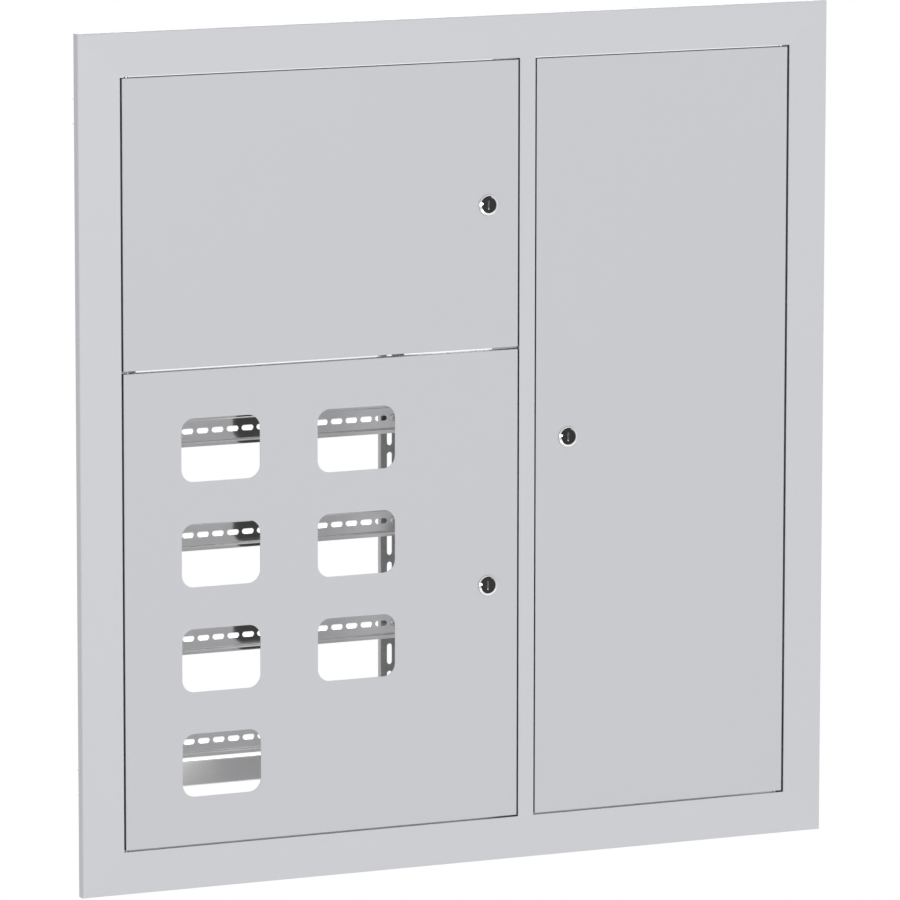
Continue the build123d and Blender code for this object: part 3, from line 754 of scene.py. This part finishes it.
def pan_screw(name, head, height, shank, length, pitch):
    """A pan head with a cross recess over a threaded shank, its seat at the origin."""
    mouth = cross(*(share * head for share in RECESS_MOUTH))
    foot = cross(*(share * head for share in RECESS_FOOT))
    rows = [(-rise * height, reach * head) for rise, reach in PAN_PROFILE]
    rows += [(-height, mouth), (-RECESS_END * height, foot), (-RECESS_END * height, 0.0)]
    rod = threaded(name + "_shank", length, shank, pitch, fastener_zinc)
    return welded_mesh(name, [turned(rows, HEAD_STEPS), rod], fastener_zinc)


# %% Shape a hexagon nut
CORNER_REACH = 0.475
CORNER_STEPS = (0.0, 0.02, 0.04, 0.06)
BORE_CHAMFER = 0.4 * MM
NUT_STEPS = 72


def hex_nut(name, across, height, bore, finish):
    """A nut with chamfered corners, its seat at the origin."""
    limits = [(step * across, (CORNER_REACH + step * math.sqrt(3)) * across) for step in CORNER_STEPS]
    rows = [(0.0, bore / 2)]
    rows += [(inwards, smaller(hexagon(across), limit)) for inwards, limit in limits]
    rows += [(height - inwards, smaller(hexagon(across), limit)) for inwards, limit in reversed(limits)]
    rows += [(height, bore / 2 + BORE_CHAMFER), (height - BORE_CHAMFER, bore / 2), (0.0, bore / 2)]
    return welded_mesh(name, [turned(rows, NUT_STEPS)], finish, NUT_SHARP)


# %% [markdown]
# ## Geometry Nodes: set out the fasteners
# The working model says where each screw and nut is, as one small solid at each place. The script reads
# those places, and a third tree puts a copy of the detailed fastener on each of them.

# %% Find the solids of a node
def solids_of(node):
    """Lowest and highest corner of each separate solid in a node."""
    shape = bmesh.new()
    shape.from_mesh(nodes[node].data)
    bmesh.ops.remove_doubles(shape, verts=shape.verts, dist=WELD)
    left = set(shape.verts)
    boxes = []
    while left:
        group, waiting = set(), [left.pop()]
        while waiting:
            vert = waiting.pop()
            group.add(vert)
            for edge in vert.link_edges:
                other = edge.other_vert(vert)
                if other in left:
                    left.discard(other)
                    waiting.append(other)
        spots = [vert.co for vert in group]
        low = Vector([min(spot[axis] for spot in spots) for axis in range(3)])
        high = Vector([max(spot[axis] for spot in spots) for axis in range(3)])
        boxes.append((low, high))
    shape.free()
    return sorted(boxes, key=lambda box: tuple(round(value, 6) for value in box[0]))


print("Rail screws found:", len(solids_of("rail_screws")))

# %% Build the tree that sets out copies
def set_out_tree():
    sizes = {"Places": "Object", "Fastener": "Object", "Finish": "Material"}
    tree, given, result = new_tree("set_out", sizes)
    points = place_node(tree, "GeometryNodeObjectInfo", {"Object": given["Places"]})
    shape = place_node(tree, "GeometryNodeObjectInfo", {"Object": given["Fastener"]})
    copies = place_node(tree, "GeometryNodeInstanceOnPoints", {
        "Points": points.outputs["Geometry"], "Instance": shape.outputs["Geometry"]})
    ended(tree, copies.outputs[0], given["Finish"], result)
    return tree


def copies_at(name, mesh, places, finish):
    """The mesh once at each place, through the tree."""
    spots = bpy.data.meshes.new(name + "_places")
    spots.from_pydata([tuple(place) for place in places], [], [])
    holders = [bpy.data.objects.new(name + "_places", spots), bpy.data.objects.new(name + "_shape", mesh)]
    for holder in holders:
        bpy.context.scene.collection.objects.link(holder)
    made = grown(name, set_out, {"Places": holders[0], "Fastener": holders[1], "Finish": finish})
    for holder in holders:
        bpy.data.objects.remove(holder)
    return made


set_out = set_out_tree()
print("Tree", set_out.name, "has", len(set_out.nodes), "nodes")


# %% [markdown]
# ## Screws and nuts that face forward
# These hold the rails to the uprights, and the uprights and straps to the cross channels. The length of
# each shank comes from the box of its solid.

# %% Make the forward screws and nuts
M5, M5_HEAD, M5_PITCH = 5.0 * MM, 2.8 * MM, 0.8 * MM
M6, M6_HEAD, M6_PITCH = 6.0 * MM, 3.6 * MM, 1.0 * MM
FORWARD_SCREWS = {
    "rail_screws": (M5_HEAD, M5, M5_PITCH),
    "upright_screws": (M6_HEAD, M6, M6_PITCH),
    "strap_foot_screws": (M6_HEAD, M6, M6_PITCH),
}
FORWARD_NUTS = {"rail_nuts": M5, "upright_nuts": M6, "strap_foot_nuts": M6}


def forward_screws(node, head, shank, pitch):
    boxes = solids_of(node)
    low, high = boxes[0]
    mesh = pan_screw(node + "_one", high.x - low.x, head, shank, high.y - low.y - head, pitch)
    places = [middle_at(low, high, low.y + head) for low, high in boxes]
    return add_piece(node + "_look", copies_at(node + "_look", mesh, places, fastener_zinc), "frame", node)


def forward_nuts(node, bore):
    boxes = solids_of(node)
    low, high = boxes[0]
    mesh = hex_nut(node + "_one", high.x - low.x, high.y - low.y, bore, fastener_zinc)
    places = [middle_at(low, high, low.y) for low, high in boxes]
    return add_piece(node + "_look", copies_at(node + "_look", mesh, places, fastener_zinc), "frame", node)


forward = [forward_screws(node, *sizes) for node, sizes in FORWARD_SCREWS.items()]
forward += [forward_nuts(node, bore) for node, bore in FORWARD_NUTS.items()]
print("Made", [(piece.name, len(piece.data.polygons)) for piece in forward])


# %% [markdown]
# ## Screws and nuts through the sides
# Each strap is held to the frame's turned-in edge by two short screws that point outwards, with their
# nuts on the far side. They are the same shapes, turned to lie along X, once for the left side and once
# for the right.

# %% Lay a set of fasteners on both sides
def laid_along_x(mesh, side):
    """Turn a shape along Y so that it points left or right."""
    mesh.transform(Matrix.Rotation(-side * math.pi / 2, 4, "Z"))
    return mesh


def side_set(node, make, seat_of):
    """One shape for each side, set out at its solids and joined as one piece."""
    parts = []
    for side in (-1.0, 1.0):
        boxes = [box for box in solids_of(node) if side * box[0].x > 0]
        name = node + ("_left" if side < 0 else "_right")
        mesh = laid_along_x(make(name, *boxes[0]), side)
        places = [(seat_of(a, b, side), (a.y + b.y) / 2, (a.z + b.z) / 2) for a, b in boxes]
        parts.append(copies_at(mesh.name + "_row", mesh, places, fastener_zinc))
    return add_piece(node + "_look", welded_mesh(node + "_look", parts, fastener_zinc), "frame", node)


# %% Make the side screws and nuts
def side_screw(name, low, high):
    return pan_screw(name, high.z - low.z, M5_HEAD, M5, high.x - low.x - M5_HEAD, M5_PITCH)


def side_nut(name, low, high):
    mesh = hex_nut(name, high.z - low.z, high.x - low.x, M5, fastener_zinc)
    mesh.transform(Matrix.Rotation(math.pi / 2, 4, "Y"))
    return mesh


def screw_seat(low, high, side):
    return low.x + M5_HEAD if side > 0 else high.x - M5_HEAD


def nut_seat(low, high, side):
    return low.x if side > 0 else high.x


side_pieces = [side_set("strap_screws", side_screw, screw_seat), side_set("strap_nuts", side_nut, nut_seat)]
print("Made", [(piece.name, len(piece.data.polygons)) for piece in side_pieces])


# %% [markdown]
# ## The cam locks
# Each door has one lock: a chromed barrel with two flats, a nut behind the door, a black core and a cam.
# The barrel's front ends in a ring with a thin lip. The lip holds the core in, and it is open over one
# quarter, where the black rim of the core shows, with a small tooth beside the opening. The ring is a
# turned shape whose inner edge is a rule of the angle, and its face slopes a little, which is why it
# stays bright all round.

# %% Shape the lock's ring
# Radii of the ring, the lip and the bores, and depths in front of the door's face
RING, RING_FRONT, RING_STEPS = 12.0 * MM, 2.2 * MM, 180
RIM_PROFILE = ((1.30 * MM, 0.0), (1.45 * MM, 0.06 * MM), (1.58 * MM, 0.22 * MM), (1.66 * MM, 0.45 * MM))
LIP_OPEN, LIP_WINDOW, LIP_TOOTH = 9.3 * MM, 11.0 * MM, 7.8 * MM
LIP_SHEET = 0.7 * MM
WINDOW_START, WINDOW_END = 72.0, 158.0
TOOTH_MIDDLE, TOOTH_HALF = 166.0, 6.5
FACE_SEAT, SEAT_DEPTH, CORE_BORE = 11.15 * MM, 0.2 * MM, 7.05 * MM


def lip_edge(angle):
    """Inner edge of the lip, seen from the front, with angles from the right towards the top."""
    degrees = math.degrees(angle) % 360
    if abs(degrees - TOOTH_MIDDLE) < TOOTH_HALF:
        return LIP_TOOTH
    return LIP_WINDOW if WINDOW_START < degrees < WINDOW_END else LIP_OPEN


def lock_ring():
    """The ring, from its bore at the door round its rim and lip and back."""
    under = LIP_SHEET - RING_FRONT
    rows = [(0.0, CORE_BORE), (0.0, RING)]
    rows += [(-forwards, RING - inwards) for forwards, inwards in RIM_PROFILE]
    rows += [
        (-RING_FRONT, lip_edge), (under, lip_edge), (under, FACE_SEAT), (-SEAT_DEPTH, FACE_SEAT),
        (-SEAT_DEPTH, CORE_BORE), (0.0, CORE_BORE)]
    return turned(rows, RING_STEPS)


print("The lip is open over", WINDOW_END - WINDOW_START, "degrees")

# %% Make the lock housings
LOCKS = (1, 2, 3)
BARREL, BARREL_PITCH, BARREL_FLATS = 20.0 * MM, 1.5 * MM, 18.0 * MM


def lock_housing(number):
    node = f"lock_housing_{number}"
    low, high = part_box(node)
    face = low.y + RING_FRONT
    barrel = threaded(
        node + "_barrel", high.y - face, BARREL, BARREL_PITCH, lock_chrome, BARREL_FLATS, CORE_BORE)
    mesh = welded_mesh(node + "_look", [lock_ring(), barrel], lock_chrome)
    mesh.transform(Matrix.Translation(middle_at(low, high, face)))
    return add_piece(node + "_look", mesh, f"door_{number}", node)


housings = [lock_housing(number) for number in LOCKS]
print("Lock housings:", [len(piece.data.polygons) for piece in housings])


# %% [markdown]
# ## Nuts, cam screws and earth studs
# The nut behind each door, the screw that holds each cam, and the welded studs for the earth wires come
# from the same helpers. They are only seen with a door open or from behind.

# %% Make the lock nuts and cam screws
CAM_HEAD = 3.0 * MM


def lock_nut(number):
    node = f"lock_nut_{number}"
    low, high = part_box(node)
    mesh = hex_nut(node + "_look", high.x - low.x, high.y - low.y, BARREL, lock_chrome)
    mesh.transform(Matrix.Translation(middle_at(low, high, low.y)))
    return add_piece(node + "_look", mesh, f"door_{number}", node)


def cam_screw(number):
    node = f"cam_screw_{number}"
    low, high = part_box(node)
    mesh = pan_screw(node + "_look", high.x - low.x, CAM_HEAD, M5, high.y - low.y - CAM_HEAD, M5_PITCH)
    mesh.transform(Matrix.Rotation(math.pi, 4, "Z"))
    mesh.transform(Matrix.Translation(middle_at(low, high, high.y - CAM_HEAD)))
    return add_piece(node + "_look", mesh, f"lock_{number}", node)


nuts = [lock_nut(number) for number in LOCKS]
cam_screws = [cam_screw(number) for number in LOCKS]
print("Made", [piece.name for piece in nuts + cam_screws])

# %% Make the earth studs
def stud_rod(node, length):
    """A threaded stud along Y from the origin."""
    rod = threaded(node + "_rod", length, M6, M6_PITCH, fastener_zinc)
    return welded_mesh(node + "_look", [rod], fastener_zinc)


def door_stud(number):
    """A stud that points backwards from its door."""
    node = f"earth_stud_{number}"
    low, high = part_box(node)
    mesh = stud_rod(node, high.y - low.y)
    mesh.transform(Matrix.Translation(middle_at(low, high, low.y)))
    return add_piece(node + "_look", mesh, f"door_{number}", node)


def frame_stud(node):
    """A stud that points to the right from the frame's left return."""
    low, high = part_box(node)
    mesh = laid_along_x(stud_rod(node, high.x - low.x), 1.0)
    mesh.transform(Matrix.Translation((low.x, (low.y + high.y) / 2, (low.z + high.z) / 2)))
    return add_piece(node + "_look", mesh, "frame", node)


studs = [door_stud(number) for number in LOCKS] + [frame_stud("earth_stud_frame")]
print("Made", [piece.name for piece in studs])


# %% [markdown]
# ## Keyway shutters
# Inside the keyway a spring-loaded steel leaf keeps dust out, with a bright guide bead below it. It is
# one small plate and one ball in each core, and it turns with the core.

# %% Make the shutters
SHUTTER = (2.2 * MM, 0.4 * MM, 10.6 * MM)
SHUTTER_PLACE = Vector((0.0, 1.5 * MM, 0.0))
BEAD = 0.85 * MM
BEAD_PLACE = Vector((0.0, 1.15 * MM, -4.4 * MM))
BEAD_SHARP = math.radians(40)


def shutter(number):
    low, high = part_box(f"lock_housing_{number}")
    middle = Vector(middle_at(low, high, low.y))
    solid = bmesh.new()
    leaf = Matrix.Translation(middle + SHUTTER_PLACE) @ Matrix.Diagonal((*SHUTTER, 1.0))
    bmesh.ops.create_cube(solid, size=1.0, matrix=leaf)
    ball = Matrix.Translation(middle + BEAD_PLACE)
    bmesh.ops.create_uvsphere(solid, u_segments=20, v_segments=12, radius=BEAD, matrix=ball)
    mesh = bpy.data.meshes.new(f"keyway_shutter_{number}")
    solid.to_mesh(mesh)
    solid.free()
    mesh.materials.append(fastener_zinc)
    mesh.set_sharp_from_angle(angle=BEAD_SHARP)
    piece = add_piece(mesh.name, mesh, f"lock_{number}")
    return piece


shutters = [shutter(number) for number in LOCKS]
print("Shutters:", [piece.name for piece in shutters])


# %% [markdown]
# ## Light
# The cabinet is lit as in a bright white studio. The world gives most of the light, more from the front
# than from behind. The camera and glass see it as pure white, and so do mirrors, apart from its dark
# side. Matt surfaces get a lower level from it, so that pale paint keeps its own tone. The dark side is
# in front, low and to the right: bright rails look dark where they face it through the windows. A large
# lamp in front and one behind help, and a low one in front puts the white arc on the left of each lock
# ring.

# %% Make the world
FRONT_LEVEL, BACK_LEVEL = 0.68, 0.58
SIDE_BAND = 0.3
DARK_WAY = (0.397, -0.904, -0.161)
DARK_LEVEL = 0.06
DARK_START, DARK_FULL = 0.86, 0.93
WHITE = (1.0, 1.0, 1.0, 1.0)


def studio_world():
    world = bpy.data.worlds.new("studio")
    world.use_nodes = True
    tree = world.node_tree
    path = tree.nodes.new("ShaderNodeLightPath").outputs
    way = tree.nodes.new("ShaderNodeTexCoord").outputs["Generated"]
    lean = place_node(tree, "ShaderNodeVectorMath", {0: way, 1: DARK_WAY}, operation="DOT_PRODUCT")
    mirrored = spread(tree, lean.outputs["Value"], 1.0, DARK_LEVEL, DARK_START, DARK_FULL)
    seen = combined(tree, "MAXIMUM", path["Is Camera Ray"], path["Is Transmission Ray"])
    split = place_node(tree, "ShaderNodeSeparateXYZ", {"Vector": way})
    soft = spread(tree, split.outputs["Y"], FRONT_LEVEL, BACK_LEVEL, -SIDE_BAND, SIDE_BAND)
    matt = spread(tree, seen, soft, 1.0)
    level = place_node(tree, "ShaderNodeMix", {
        "Factor": path["Is Glossy Ray"], "A": matt, "B": mirrored}, data_type="FLOAT")
    light = tree.nodes["Background"]
    light.inputs["Color"].default_value = WHITE
    tree.links.new(level.outputs["Result"], light.inputs["Strength"])
    return world


bpy.context.scene.world = studio_world()
print("World:", bpy.context.scene.world.name)

# %% Make the lamps
def area_lamp(name, place, aim, width, power):
    """A square lamp at a place, turned to what it lights."""
    data = bpy.data.lights.new(name, "AREA")
    data.shape = "SQUARE"
    data.size = width
    data.energy = power
    lamp = bpy.data.objects.new(name, data)
    bpy.context.scene.collection.objects.link(lamp)
    lamp.location = place
    lamp.rotation_euler = (Vector(aim) - Vector(place)).to_track_quat("-Z", "Y").to_euler()
    return lamp


FRONT_MIDDLE = (0.0, FRONT_Y, 0.0)
BACK_MIDDLE = (0.0, 0.0, 0.0)
key_lamp = area_lamp("key_lamp", (0.3, -8.0, 0.6), FRONT_MIDDLE, width=3.0, power=163.0)
back_lamp = area_lamp("back_lamp", (1.5, 4.0, 1.5), BACK_MIDDLE, width=3.0, power=90.0)
low_lamp = area_lamp("low_lamp", (0.9, -8.0, -3.6), FRONT_MIDDLE, width=2.4, power=40.0)
print("Lamps at", [tuple(lamp.location) for lamp in (key_lamp, back_lamp, low_lamp)])


# %% [markdown]
# ## Floor
# The cabinet is fixed in a wall, so the floor lies well below it. It is white to the camera, as the
# background is, and the cabinet's shadow still shows on it. The extra white is added only for the rays
# that see it straight, in a mirror or through glass, so it throws no more light at the cabinet than a
# pale floor does.

# %% Make the floor
FLOOR_Z = -1.4
FLOOR_SIZE = 6.0
FLOOR_TONE = (0.88, 0.88, 0.88, 1.0)
FLOOR_ROUGHNESS = 0.9
FLOOR_LIFT = 0.42


def floor_finish():
    material, tree, shader, places = start_material("floor_white", 0.0, FLOOR_ROUGHNESS)
    shader.inputs["Base Color"].default_value = FLOOR_TONE
    path = tree.nodes.new("ShaderNodeLightPath").outputs
    straight = combined(tree, "MAXIMUM", path["Is Camera Ray"], path["Is Glossy Ray"])
    seen = combined(tree, "MAXIMUM", straight, path["Is Transmission Ray"])
    shader.inputs["Emission Color"].default_value = WHITE
    tree.links.new(spread(tree, seen, 0.0, FLOOR_LIFT), shader.inputs["Emission Strength"])
    return material


def pale_floor():
    mesh = bpy.data.meshes.new("floor")
    half = FLOOR_SIZE / 2
    corners = ((-half, -half), (half, -half), (half, half), (-half, half))
    mesh.from_pydata([(x, y, FLOOR_Z) for x, y in corners], [], [(0, 1, 2, 3)])
    floor = bpy.data.objects.new("floor", mesh)
    bpy.context.scene.collection.objects.link(floor)
    mesh.materials.append(floor_finish())
    return floor


pale_floor()
print("Floor", FLOOR_SIZE, "m wide, at z =", FLOOR_Z, "m")


# %% [markdown]
# ## Camera
# The photograph was taken with a long lens from the left and slightly above. Its picture is shifted a
# little to one side, as if it had been cut from a wider one. The place, the turn, the lens and the shift
# come from fitting the corners of the doors.

# %% Make the camera
CAMERA_PLACE = (-3.5275, -7.9733, 1.3938)
CAMERA_YAW = math.radians(23.71)
CAMERA_PITCH = math.radians(9.26)
CAMERA_LENS = 298.5
CAMERA_SHIFT = 0.0644
SENSOR_WIDTH = 36.0
SIGHT = 100.0


def photo_camera():
    data = bpy.data.cameras.new("camera")
    data.lens = CAMERA_LENS
    data.sensor_width = SENSOR_WIDTH
    data.shift_x = CAMERA_SHIFT
    data.clip_end = SIGHT
    camera = bpy.data.objects.new("camera", data)
    bpy.context.scene.collection.objects.link(camera)
    camera.location = CAMERA_PLACE
    camera.rotation_euler = (math.pi / 2 - CAMERA_PITCH, 0.0, -CAMERA_YAW)
    return camera


bpy.context.scene.camera = photo_camera()
bpy.context.scene.view_settings.view_transform = "Standard"
print("Camera at", CAMERA_PLACE, "with a lens of", CAMERA_LENS, "mm")
